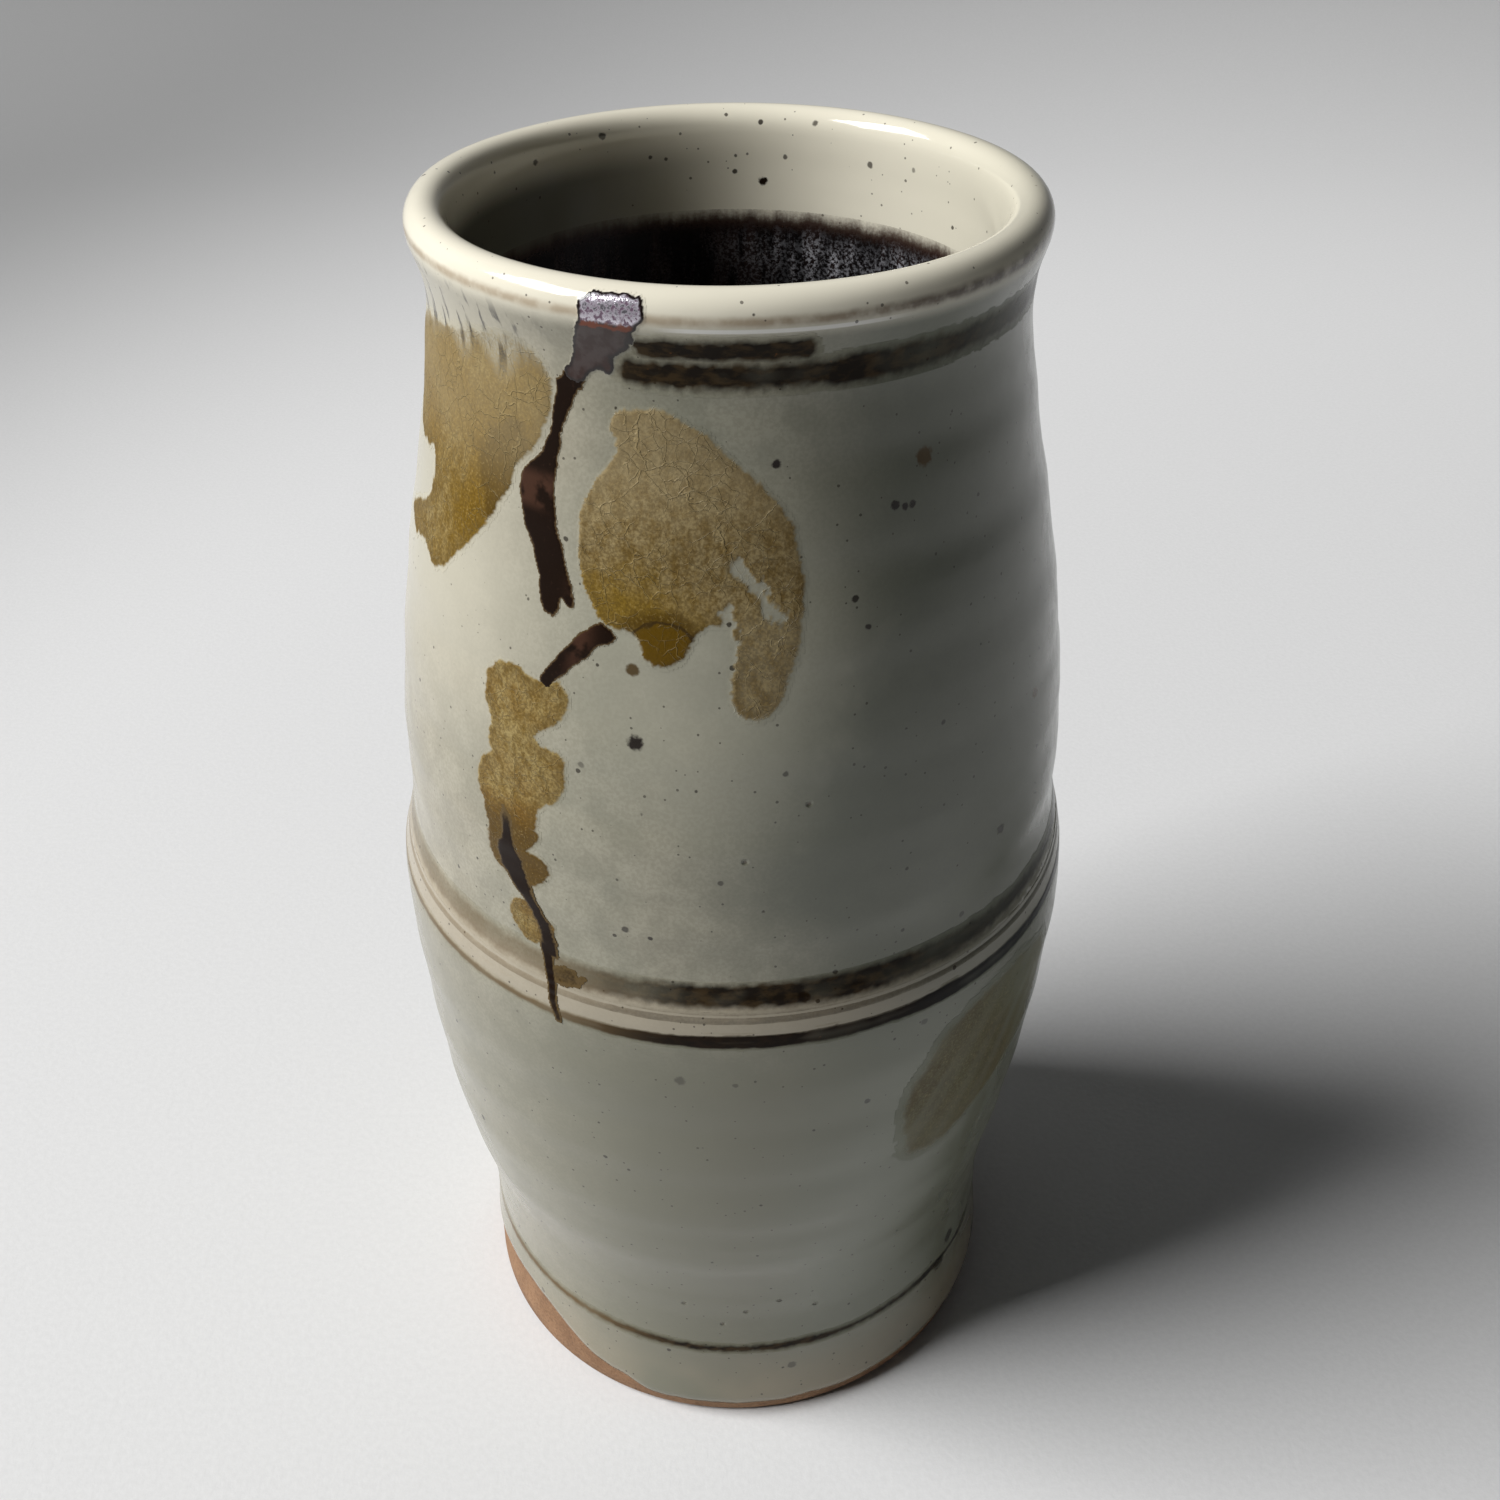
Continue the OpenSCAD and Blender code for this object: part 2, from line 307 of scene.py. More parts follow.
def rows_along(start, end, coarse, fine):
    """Rows along the profile, closer together where it bends."""
    s = np.arange(start, end, 0.1)
    out_r, out_z = outward(s)
    bend = np.abs(np.gradient(np.arctan2(-out_z, out_r), 0.1))
    density = 1 / coarse + np.minimum(bend * 3.0, 1.0) * (1 / fine - 1 / coarse)
    total = np.concatenate([[0], np.cumsum(density[:-1] * 0.1)])
    return np.interp(np.linspace(0, total[-1], max(4, int(total[-1] * FINE))), total, s)


def ring_of(columns):
    """Bearings of the columns of a turned piece."""
    return (np.arange(columns) / columns - 0.5) * 2 * math.pi


def build_clay(material):
    """The bare clay, with its turned foot. It stays below the glazes."""
    clay = tree_of("clay_body")
    under = [hit(clay, SAMPLE_AZ, (r, -5), (r, 60)) for r in np.arange(0.5, 60, 0.4)]
    under = np.array([p for p in under if p is not None])
    under = under[under[:, 1] < 6]
    glaze_gap, worn_edge = 0.6, 0.3
    rows = rows_along(s_outside(1.2), S_HIGH - 0.5, 2.2, 0.9)
    az = ring_of(COLUMNS)
    body = skin(rows[:, None], az, -glaze_gap)
    body[..., 2] = np.maximum(body[..., 2], worn_edge)
    edge = np.array([np.hypot(*body[0, 0, :2]), body[0, 0, 2]])
    keep = under[under[:, 0] < edge[0] - 0.5]
    sole = np.stack([keep[:, 0, None] * np.sin(az), -keep[:, 0, None] * np.cos(az),
                     np.broadcast_to(keep[:, 1, None], (len(keep), len(az)))], axis=-1)
    wear = 0.05 * cloud(az, keep[:, 0, None], 9, 21, 2) - 0.05
    sole[..., 2] -= np.minimum(0.0, wear) * (sole[..., 2] > 0.2)
    points = np.concatenate([sole, body])
    along = np.concatenate([S_LOW - 3 - (keep[-1, 0] - keep[:, 0]), rows])
    obj = turned("clay", points, np.repeat(along, len(az)), poles=True)
    hand_in(obj, "bare_clay", material, "clay_body")


def glaze_edge(az):
    """Height of the dipped glaze's lower edge round the foot, from the CAD glaze."""
    glaze = tree_of("dip_glaze")
    heights = []
    for bearing in az:
        z = 0.6
        while z < 30:
            found = hit(glaze, bearing, (70, z), (40, z))
            if found:
                break
            z += 0.1
        heights.append(z)
    heights = np.array(heights)
    kernel = np.hanning(9) / np.hanning(9).sum()
    heights = np.convolve(np.concatenate([heights[-4:], heights, heights[:4]]), kernel, "valid")
    ragged = 0.3 * cloud(az, 0, 9, 31, 3) + 0.12 * cloud(az, 0, 2.2, 35, 2)
    front = 0.55 * smoothstep(-0.2, 0.8, np.cos(az - 0.1))
    return heights + front + ragged * (0.7 + 0.3 * np.clip(heights / 4, 0, 1))


def build_dip_glaze(material):
    az = ring_of(GLAZE_COLUMNS)
    edge = s_outside(glaze_edge(az))
    outer = np.concatenate([rows_along(S_LOW, S_COLLAR - 1.1, 1.5, 0.55),
                            np.arange(S_COLLAR - 0.9, S_COLLAR + 0.65, 0.2)])
    inner = rows_along(S_LOW, S_COLLAR + 0.6, 4.0, 1.6)[::-1]

    def from_uneven_edge(rows):
        """The rows start along the uneven edge, and are level by a height of 26 mm."""
        rows = rows[:, None]
        level = smoothstep(S_LOW, s_outside(26.0), rows)
        return (edge + (rows - S_LOW)) * (1 - level) + rows * level

    s_out, s_in = from_uneven_edge(outer), from_uneven_edge(inner)
    from_edge = s_out - edge
    roll = np.sqrt(np.clip(from_edge / 1.6, 0, 1)) - 1
    bead = 0.1 * hump(from_edge, 2.0, 1.3)
    glaze_depth = 0.68
    tuck = -0.06 * smoothstep(S_COLLAR - 0.2, S_COLLAR + 0.5, s_out)
    points = np.concatenate([skin(s_out, az, 0.55 * roll + bead + tuck),
                             skin(s_in, az, -glaze_depth)])
    obj = turned("pale_glaze", points, np.concatenate([s_out, s_in]))
    hand_in(obj, "pale_glaze", material, "dip_glaze")


def build_liner(material):
    """The glaze inside. Its two sheets join at the collar and close on the floor's middle."""
    az = ring_of(COLUMNS)
    start = S_COLLAR - 3.0
    visible = np.concatenate([np.arange(start, S_COLLAR + 0.7, 0.25),
                              rows_along(S_COLLAR + 0.9, S_HIGH - 0.4, 1.8, 0.9)])
    hidden = rows_along(start, S_HIGH - 0.4, 4.0, 2.0)[::-1]
    lift = 0.012 - 0.13 * smoothstep(S_COLLAR + 0.4, start, visible)[:, None]
    top = skin(visible[:, None], az, lift)
    back = skin(hidden[:, None], az, -0.5)
    columns, split = len(az), len(visible)
    faces = quads(split + len(hidden), columns, True)
    a, b = (split - 1) * columns, split * columns
    faces = faces[:a] + faces[b:]
    poles = [top[-1].mean(axis=0), back[0].mean(axis=0)]
    flat = np.concatenate([top.reshape(-1, 3), back.reshape(-1, 3), poles])
    along = np.repeat(np.concatenate([visible, hidden]), columns)
    along = np.concatenate([along, [visible[-1], hidden[0]]])
    upper, lower = len(flat) - 2, len(flat) - 1
    for j in range(columns):
        k = (j + 1) % columns
        faces += [[upper, a + j, a + k], [lower, b + k, b + j]]
    obj = make_object("liner_glaze", flat, faces, {"along": along})
    hand_in(obj, "liner_glaze", material, "liner_glaze")


# ---- Brushwork: thin films that follow the glaze and fade out at their edges ----

def film_mesh(name, az, s, cover, thick, extra, least=0.0005, lift=0.02):
    """A closed thin shell over the cells of a grid with more than the least cover."""
    rows, columns = cover.shape
    used = (cover[:-1, :-1] + cover[1:, :-1] + cover[:-1, 1:] + cover[1:, 1:]) / 4 > least
    grid_az, grid_s = np.meshgrid(az, s)
    top = skin(grid_s, grid_az, lift + thick * smoothstep(0.1, 1.0, cover))
    low = skin(grid_s, grid_az, -0.06)
    cells = np.argwhere(used)
    corners = (cells[:, None] + ((0, 0), (0, 1), (1, 1), (1, 0))).reshape(-1, 2)
    first = np.unique(corners @ (columns, 1), return_index=True)[1]
    pick = tuple(corners[np.sort(first)].T)
    count = len(first)
    number = np.zeros((rows, columns), int)
    number[pick] = np.arange(count)
    rings = number[tuple(corners.T)].reshape(-1, 4).tolist()
    faces, walls = [], []
    beyond = ((-1, 0), (0, 1), (1, 0), (0, -1))
    for (i, j), ring in zip(cells, rings):
        faces += [ring, [count + k for k in reversed(ring)]]
        for side, (di, dj) in enumerate(beyond):
            ni, nj = i + di, j + dj
            if 0 <= ni < rows - 1 and 0 <= nj < columns - 1 and used[ni, nj]:
                continue
            p, q = ring[side], ring[(side + 1) % 4]
            walls.append([q, p, count + p, count + q])
    values = {"along": grid_s, "cover": cover}
    values.update(extra)
    attributes = {k: np.tile(v[pick], 2) for k, v in values.items()}
    points = np.concatenate([top[pick], low[pick]])
    return make_object(name, points, faces + walls, attributes, len(faces))


def node_span(node, margin):
    """The bearings and the distances along the profile that a film's node takes up."""
    points = node_mesh(node)[0]
    az = np.arctan2(points[:, 0], -points[:, 1])
    s = s_outside(np.minimum(points[:, 2], HEIGHT - 0.1))
    side = margin / MEAN_R
    return az.min() - side, az.max() + side, s.min() - margin, s.max() + margin


def brushed_grid(node, step, reach, margin=1.6):
    """A grid over a node, with each point's distance in mm inside the node's outline.
    reach is how many mm further it goes downwards and to the right."""
    step = step / FINE
    az0, az1, s0, s1 = node_span(node, margin)
    az1, s0 = az1 + reach / 3 / MEAN_R, s0 - reach
    s1 = min(s1, 4.0)
    az = np.linspace(az0, az1, max(8, int((az1 - az0) * MEAN_R / step)))
    s = np.linspace(s0, s1, max(8, int((s1 - s0) / step)))
    tree = tree_of(node)
    r = np.interp(s, profile_s, profile_r)
    z = height_at(s)
    out_r, out_z = outward(s)
    inside = np.zeros((len(s), len(az)), bool)
    for i in range(len(s)):
        for j, bearing in enumerate(az):
            start = (r[i] + 2.5 * out_r[i], z[i] + 2.5 * out_z[i])
            end = (r[i] - 0.8 * out_r[i], z[i] - 0.8 * out_z[i])
            inside[i, j] = hit(tree, bearing, start, end) is not None
    across = az * MEAN_R
    edge = [((across[j] + across[j + 1]) / 2, s[i], 0)
            for i, j in np.argwhere(inside[:, 1:] != inside[:, :-1])]
    edge += [(across[j], (s[i] + s[i + 1]) / 2, 0)
             for i, j in np.argwhere(inside[1:] != inside[:-1])]
    find = KDTree(len(edge))
    for k, place in enumerate(edge):
        find.insert(place, k)
    find.balance()
    depth = np.array([[find.find((u, v, 0))[2] for u in across] for v in s])
    return az, s, np.where(inside, depth, -depth)


def scratch(az, z, ends, width, seed):
    """Cover that is left near a dry streak between two (az in degrees, z) places."""
    (a0, z0), (a1, z1) = ends
    u, v = np.degrees(az), z
    du, dv = a1 - a0, z1 - z0
    t = np.clip(((u - a0) * du + (v - z0) * dv) / (du * du + dv * dv), 0, 1)
    away = np.hypot((u - a0 - t * du) * 0.85, v - z0 - t * dv)
    away = away + 0.6 * cloud(az, z, 2.6, seed, 3) + 0.8 * cloud(az, z, 0.8, seed + 1, 2)
    return smoothstep(0.25 * width, width, away)


def build_film(name, slot, material, step, soft, ragged, thick, seed, shape, reach=0, grow=0.0,
               least=0.0005, lift=0.02):
    """A stroke or leaf in place of the node of the same name. soft is how wide its edge fades,
    ragged how far its outline strays at two sizes, and shape adds what the brush did inside."""
    az, s, depth = brushed_grid(name, step, reach)
    grid_az, grid_s = np.meshgrid(az, s)
    big, small = ragged
    depth = depth + grow + big * cloud(grid_az, grid_s, 4.5, seed, 2)
    depth = depth + small * cloud(grid_az, grid_s, 1.1, seed + 5, 3)
    cover = smoothstep(-soft, soft, depth)
    cover, extra = shape(grid_az, height_at(grid_s) / UNIT, cover)
    extra["depth"] = depth
    cover[0], cover[-1], cover[:, 0], cover[:, -1] = 0, 0, 0, 0
    hand_in(film_mesh(name, az, s, cover, thick, extra, least, lift), slot, material, name)


def build_line(name, slot, material, thick, seed, tone, waver, soft, closed=True):
    """A brushed line round the vase. tone(degrees) gives how much colour the brush left there
    and how wide it pressed. The node of the line x_line is called x_band."""
    node = name.replace("line", "band")
    points = node_mesh(node)[0]
    low, high = points[:, 2].min(), points[:, 2].max()
    middle, half = s_outside((low + high) / 2), (high - low) / 2
    margin = 1.6
    rows = max(6, int((2 * half + 2 * margin) / 0.22 * FINE))
    s = np.linspace(middle - half - margin, middle + half + margin, rows)
    span = (-math.pi, math.pi)
    if not closed:
        bearings = np.sort(np.mod(np.arctan2(points[:, 0], -points[:, 1]), TURN))
        gaps = np.diff(np.concatenate([bearings, [bearings[0] + TURN]]))
        start = int(np.argmax(gaps))
        first = bearings[(start + 1) % len(bearings)]
        first = first - TURN if first > math.pi else first
        first -= 0.7 / MEAN_R
        span = (first, first + TURN - gaps[start])
    count = int((span[1] - span[0] + 0.08) * MEAN_R / 0.42 * FINE)
    pad = 0.0 if closed else 0.04
    az = np.linspace(span[0] - pad, span[1] + pad, count)
    grid_az, grid_s = np.meshgrid(az, s)
    centre = middle + waver * cloud(grid_az, 0, 40, seed, 2)
    strength, swell = tone(np.degrees(grid_az))
    width = half * swell * (1 + 0.22 * cloud(grid_az, 0, 15, seed + 3, 3))
    depth = width - np.abs(grid_s - centre)
    if not closed:
        end = np.minimum(grid_az - span[0], span[1] - grid_az) * MEAN_R
        depth = depth - half * np.clip(1 - end / 1.4, 0, 1) ** 2
        depth = np.minimum(depth, end + 0.3 * cloud(grid_az, grid_s, 1.5, seed + 9, 2))
    depth = depth + 0.4 * soft * cloud(grid_az, grid_s, 1.2, seed + 6, 3)
    cover = smoothstep(-soft, soft, depth)
    strength = strength * (0.95 + 0.2 * cloud(grid_az, grid_s, 6, seed + 8, 3))
    if not closed:
        cover[:, 0], cover[:, -1] = 0, 0
    cover[0], cover[-1] = 0, 0
    obj = film_mesh(name, az, s, cover, thick, {"depth": depth, "tone": np.clip(strength, 0, 1.2)})
    hand_in(obj, slot, material, node)


# ---- Materials ----

class Shader:
    """Builds one node material. Values may be numbers, colours or output sockets."""

    def __init__(self, name):
        self.material = bpy.data.materials.new(name)
        self.material.use_nodes = True
        self.tree = self.material.node_tree
        self.tree.nodes.clear()
        place = self.add("TexCoord").outputs["Object"]
        self.mm = self.vector("MULTIPLY", place, (1000, 1000, 1000))
        split = self.add("SeparateXYZ", {"Vector": self.mm})
        self.x, self.y, self.z = split.outputs

    def add(self, kind, inputs=None, **settings):
        node = self.tree.nodes.new("ShaderNode" + kind)
        for key, value in settings.items():
            setattr(node, key, value)
        for key, value in (inputs or {}).items():
            self.put(node.inputs[key], value)
        return node

    def put(self, socket, value):
        if isinstance(value, bpy.types.NodeSocket):
            self.tree.links.new(value, socket)
        elif isinstance(value, tuple) and len(value) == 3 and socket.type == "RGBA":
            socket.default_value = (*value, 1)
        else:
            socket.default_value = value

    def math(self, operation, a, b=0.0, c=0.0, clamp=False):
        node = self.add("Math", {0: a, 1: b, 2: c}, operation=operation)
        node.use_clamp = clamp
        return node.outputs[0]

    def times(self, a, *others):
        for b in others:
            a = self.math("MULTIPLY", a, b)
        return a

    def plus(self, a, b):
        return self.math("ADD", a, b)

    def gap(self, a, b):
        """How far a is from b, a plain number."""
        return self.math("ABSOLUTE", self.plus(a, -b))

    def swing(self, noise, amount):
        """Noise turned into an amount to either side of nothing."""
        return self.times(self.plus(noise, -0.5), amount)

    def vector(self, operation, a, b, output=0):
        return self.add("VectorMath", {0: a, 1: b}, operation=operation).outputs[output]

    def distance(self, a, b):
        return self.vector("DISTANCE", a, b, "Value")

    def step(self, value, low, high, to_low=0.0, to_high=1.0):
        """Smooth step of a value between two limits. low may be above high."""
        node = self.add("MapRange", {"Value": value, "From Min": low, "From Max": high,
                                               "To Min": to_low, "To Max": to_high},
                        interpolation_type="SMOOTHSTEP")
        return node.outputs["Result"]

    def mix(self, factor, a, b):
        return self.add("Mix", {"Factor": factor, 6: a, 7: b}, data_type="RGBA").outputs[2]

    def over(self, colour, tint, value, *limits):
        """The colour with a tint over it, as strong as the step of a value."""
        return self.mix(self.step(value, *limits), colour, tint)

    def noise(self, size, detail=3.0, stretch=None, rough=0.55, offset=(0, 0, 0)):
        """Noise between 0 and 1 whose cells are about size mm across. They are as much longer
        upwards as stretch is below 1."""
        spot = self.mm if stretch is None else self.vector("MULTIPLY", self.mm, (1, 1, stretch))
        spot = self.vector("ADD", spot, offset)
        node = self.add("TexNoise", {"Vector": spot, "Scale": 1.0 / size,
                                               "Detail": detail, "Roughness": rough})
        return node.outputs["Fac"]

    def cells(self, size, feature="F1", vector=None):
        return self.add("TexVoronoi", {"Vector": vector or self.mm, "Scale": 1.0 / size},
                        feature=feature)

    def cells_and_lots(self, size):
        """Cells, and a number between 0 and 1 that each cell draws."""
        cells = self.cells(size)
        lots = self.add("SeparateColor", {0: cells.outputs["Color"]}).outputs[0]
        return cells, lots

    def attribute(self, name):
        return self.add("Attribute", attribute_name=name).outputs["Fac"]

    def finish(self, colour, rough, height, **more):
        """The finished material. height is relief in mm."""
        bump = self.add("Bump", {"Height": self.times(height, MM), "Strength": 1.0,
                                           "Distance": 1.0})
        surface = self.add("BsdfPrincipled", {
            "Base Color": colour, "Roughness": rough, "Normal": bump.outputs["Normal"]})
        for key, value in more.items():
            self.put(surface.inputs[key.replace("_", " ")], value)
        output = self.add("OutputMaterial")
        self.tree.links.new(surface.outputs[0], output.inputs["Surface"])
        return self.material


def surface_point(az_degrees, z, side=s_outside):
    return tuple(skin(side(z * UNIT), math.radians(az_degrees)).tolist())


# Iron specks that show one by one: bearing in degrees, height, radius and strength
SPECKS = [(-15, 158, 1.0, 1.0), (7.5, 195.5, 0.55, 1.0), (28, 188, 0.6, 1.0),
          (30, 187.5, 0.45, 1.0), (31.5, 187.5, 0.5, 1.0), (20, 177, 0.45, 0.9),
          (22, 173, 0.4, 0.9), (48.5, 132, 0.8, 0.8), (31, 104.5, 0.55, 0.6), (21.5, 91, 0.5, 0.8),
          (-8.5, 100, 0.75, 0.5), (0, 99.5, 0.4, 0.5), (-24, 153, 0.45, 0.5), (-17, 127, 0.5, 0.8),
          (-13, 126, 0.35, 0.9), (57, 23, 1.4, 0.7), (53, 18.5, 1.6, 0.7), (12, 13, 0.8, 0.6),
          (16, 118.5, 0.4, 0.8), (35, 156, 0.35, 0.8), (-2, 137, 0.4, 0.7), (8, 154, 0.4, 0.7),
          (40, 120, 0.45, 0.7), (-50, 14, 0.5, 0.5)]
INNER_SPECKS = [(172, 206, 0.7, 1.0), (178.6, 207.5, 0.4, 0.9), (178.4, 210, 0.3, 0.8),
                (172.6, 215.2, 0.4, 0.9), (-150, 214.6, 0.6, 0.9), (160, 215.5, 0.5, 0.8),
                (166.8, 210, 0.4, 0.8), (146, 210.3, 0.5, 0.8), (134, 211, 0.4, 0.6),
                (-161.5, 210.4, 0.35, 0.8), (-165.3, 209.9, 0.3, 0.8), (-131, 213, 0.5, 0.8)]
OCHRE_SPECKS = [(-15.7, 168.2, 0.85), (34.6, 193.2, 1.2), (10.7, 115.2, 0.9), (60, 150, 0.8)]
PITS = [(11.6, 149), (1.7, 140.6), (-11, 33), (2, 31), (9, 34), (17, 30), (-3, 27)]


def pale_glaze(sh):
    """Colour, roughness and height of the dipped glaze, the same in every piece that shows it."""
    x, y, z, along = sh.x, sh.y, sh.z, sh.attribute("along")
    broad = sh.noise(38, 3)
    mottle = sh.noise(5.5, 4, offset=(40, 0, 0))
    warm = sh.plus(sh.times(sh.step(x, 5, -48), 0.55), sh.step(broad, 0.35, 0.75, 0, 0.7))
    colour = sh.mix(warm, (0.3, 0.3, 0.232), (0.43, 0.39, 0.295))
    colour = sh.over(colour, (0.44, 0.415, 0.325), mottle, 0.35, 0.7, 0, 0.35)
    colour = sh.over(colour, (0.17, 0.165, 0.12), mottle, 0.62, 0.38, 0, 0.22)
    colour = sh.over(colour, (0.19, 0.175, 0.125), sh.noise(0.55, 3), 0.38, 0.62, 0.26, 0)

    # Greyer and darker below the ridge as painted shade, greener and darker on the right as green
    # glaze with painted shade, painted light at the left shoulder, and pale above the spray
    # Painted shade: the glaze below the ridge is painted darker, most on the right, where the lower
    # body turns from the lamp
    low = sh.times(sh.step(z, 125, 95), sh.step(x, -42, -12, 0.5, 0.95))
    colour = sh.mix(low, colour, (0.198, 0.194, 0.142))
    # Partly green glaze, partly painted shade: the right side, away from the lamp, is painted a
    # darker green
    right = sh.plus(x, sh.swing(broad, 30))
    start = sh.times(sh.step(z, 122, 134), sh.step(z, 172, 156, 0, -9))
    green_and_painted_shade = sh.mix(sh.step(z, 92, 135), (0.203, 0.214, 0.161), (0.132, 0.143, 0.11))
    colour = sh.over(colour, green_and_painted_shade, sh.plus(right, sh.times(start, -1)), 0, 26, 0, 0.9)
    pale = sh.vector("MULTIPLY", sh.vector("SUBTRACT", sh.mm, (-2, -50, 170)), (1, 0, 0.75))
    pale = sh.plus(sh.distance(pale, (0, 0, 0)), sh.swing(mottle, 14))
    pale = sh.times(sh.step(pale, 26, 6, 0, 0.55), sh.step(y, 0, -25))
    colour = sh.mix(pale, colour, (0.48, 0.465, 0.37))
    olive = sh.times(sh.step(x, 33, 44, 0, 0.38), sh.step(z, 88, 66),
                     sh.step(sh.noise(7, 3, 0.3, offset=(2, 2, 0)), 0.42, 0.58))
    colour = sh.mix(olive, colour, (0.125, 0.12, 0.06))
    # Painted light: the upper left shoulder, which faces the lamp, is painted lighter
    painted_light_upper_left = sh.times(sh.step(x, -14, -42, 0, 0.85), sh.step(z, 135, 175))
    colour = sh.mix(painted_light_upper_left, colour, (0.585, 0.55, 0.44))

    # Thin places are pinker: between the belly lines and near the edge at the foot
    thin = sh.step(sh.gap(along, s_outside(RIDGE_Z * UNIT)), 4.6, 2.0, 0, 0.55)
    thin = sh.times(thin, sh.step(x, 14, 40, 1, 0.35))
    colour = sh.mix(thin, colour, (0.5, 0.425, 0.325))
    foot = sh.step(along, s_outside(24), s_outside(3), 0, 0.6)
    colour = sh.mix(sh.times(foot, sh.step(broad, 0.3, 0.6)), colour, (0.42, 0.345, 0.245))

    # The lip and the collar inside it are a lighter straw, painted darker on the right as painted
    # shade, with a brown line under the lip and a painted highlight line below it at the front
    lip = sh.step(along, S_TOAST - 3.0, S_TOAST + 0.5)
    # Painted shade: the lip's straw is painted darker towards the right, away from the lamp
    cream_and_painted_shade = sh.mix(sh.step(x, 18, 50, 0, 0.85), (0.9, 0.85, 0.7), (0.56, 0.53, 0.42))
    colour = sh.mix(sh.times(lip, 0.95), colour, cream_and_painted_shade)
    # The brown line is real toasting of the glaze. Its darker, wider part on the right is painted
    # shade under the lip's overhang
    tremble = sh.swing(sh.noise(2.2, 3, offset=(0, 9, 0)), 0.5)
    toast_and_painted_shade = sh.math("ABSOLUTE", sh.plus(sh.plus(along, -S_TOAST), tremble))
    toast_and_painted_shade = sh.step(sh.times(toast_and_painted_shade, sh.step(x, 10, 45, 1.0, 0.6)), 1.0, 0.1)
    toast_and_painted_shade = sh.times(toast_and_painted_shade, sh.step(sh.noise(3, 3), 0.34, 0.6, 0.55, 1),
                     sh.step(x, -10, 35, 0.55, 1))
    brown = sh.mix(sh.step(x, -5, 32), (0.28, 0.16, 0.055), (0.058, 0.036, 0.016))
    colour = sh.mix(toast_and_painted_shade, colour, brown)
    # Painted highlight: a pale line below the brown line at the front, where the lip's underside
    # catches light
    painted_gleam = sh.step(sh.gap(along, S_TOAST - 1.15), 0.36, 0.18, 0, 0.85)
    painted_gleam = sh.times(sh.times(sh.step(y, 0, -10), painted_gleam),
                     sh.times(sh.step(x, -10, -4), sh.step(x, 24, 14)))
    colour = sh.mix(painted_gleam, colour, (0.93, 0.92, 0.88))

    # Painted shade: the collar is painted dark grey inside on the left, where it lies in shade
    inside = sh.times(sh.step(along, 5, 11), sh.step(x, 12, -30, 0, 0.92))
    colour = sh.mix(inside, colour, (0.085, 0.085, 0.062))

    # Grey runs under the lip on the left
    window = [s_outside(height * UNIT) for height in (199, 206, 214, 210)]
    window = sh.times(sh.step(along, *window[:2]), sh.step(along, *window[2:]))
    runs = sh.times(sh.step(sh.noise(1.9, 3, 0.16), 0.52, 0.62, 0, 0.92), window,
                    sh.step(x, -20, -30))
    colour = sh.mix(runs, colour, (0.058, 0.053, 0.048))

    # Iron specks of three sizes. A cell's own colour says how big its speck is, or that it has none
    height = sh.swing(sh.noise(9, 2), 0.05)
    for size, reach, keep, strength in ((1.5, 0.16, 0.36, 0.7), (4.2, 0.105, 0.4, 0.85),
                                        (11.0, 0.06, 0.35, 0.95)):
        cell, lot = sh.cells_and_lots(size)
        radius = sh.times(sh.math("SUBTRACT", lot, keep, clamp=True), reach / (1 - keep))
        warp = sh.swing(sh.noise(0.5, 1, offset=(size, 0, 0)), reach * 0.5)
        speck = sh.math("SUBTRACT", radius, sh.plus(cell.outputs["Distance"], warp))
        colour = sh.over(colour, (0.032, 0.025, 0.016), speck, -0.01, 0.022, 0, strength)
    edge = sh.plus(sh.noise(0.8, 2, offset=(5, 5, 5)), -0.5)
    marks = [(surface_point(az, z), size * 1.15, strength) for az, z, size, strength in SPECKS]
    marks += [(surface_point(az, z, s_inside), size, strength)
              for az, z, size, strength in INNER_SPECKS]
    for place, radius, strength in marks:
        away = sh.plus(sh.distance(sh.mm, place), sh.times(edge, radius * 1.1))
        colour = sh.over(colour, (0.016, 0.01, 0.006), away, radius * 1.2, radius * 0.65,
                         0, strength)
    for az, z, radius in OCHRE_SPECKS:
        away = sh.plus(sh.distance(sh.mm, surface_point(az, z)), sh.times(edge, radius))
        colour = sh.over(colour, (0.08, 0.044, 0.006), away, radius * 1.3, radius * 0.75, 0, 0.95)
    for az, z in PITS:
        away = sh.distance(sh.mm, surface_point(az, z))
        height = sh.plus(height, sh.step(away, 0.65, 0.15, 0, -0.3))
        colour = sh.over(colour, (0.08, 0.06, 0.04), away, 0.4, 0.15, 0, 0.8)
    rough = sh.step(sh.noise(3.2, 3, offset=(9, 9, 0)), 0.3, 0.7, 0.16, 0.24)
    return colour, sh.math("MULTIPLY_ADD", lip, -0.09, rough), height


def pale_glaze_material():
    sh = Shader("pale glaze")
    return sh.finish(*pale_glaze(sh))


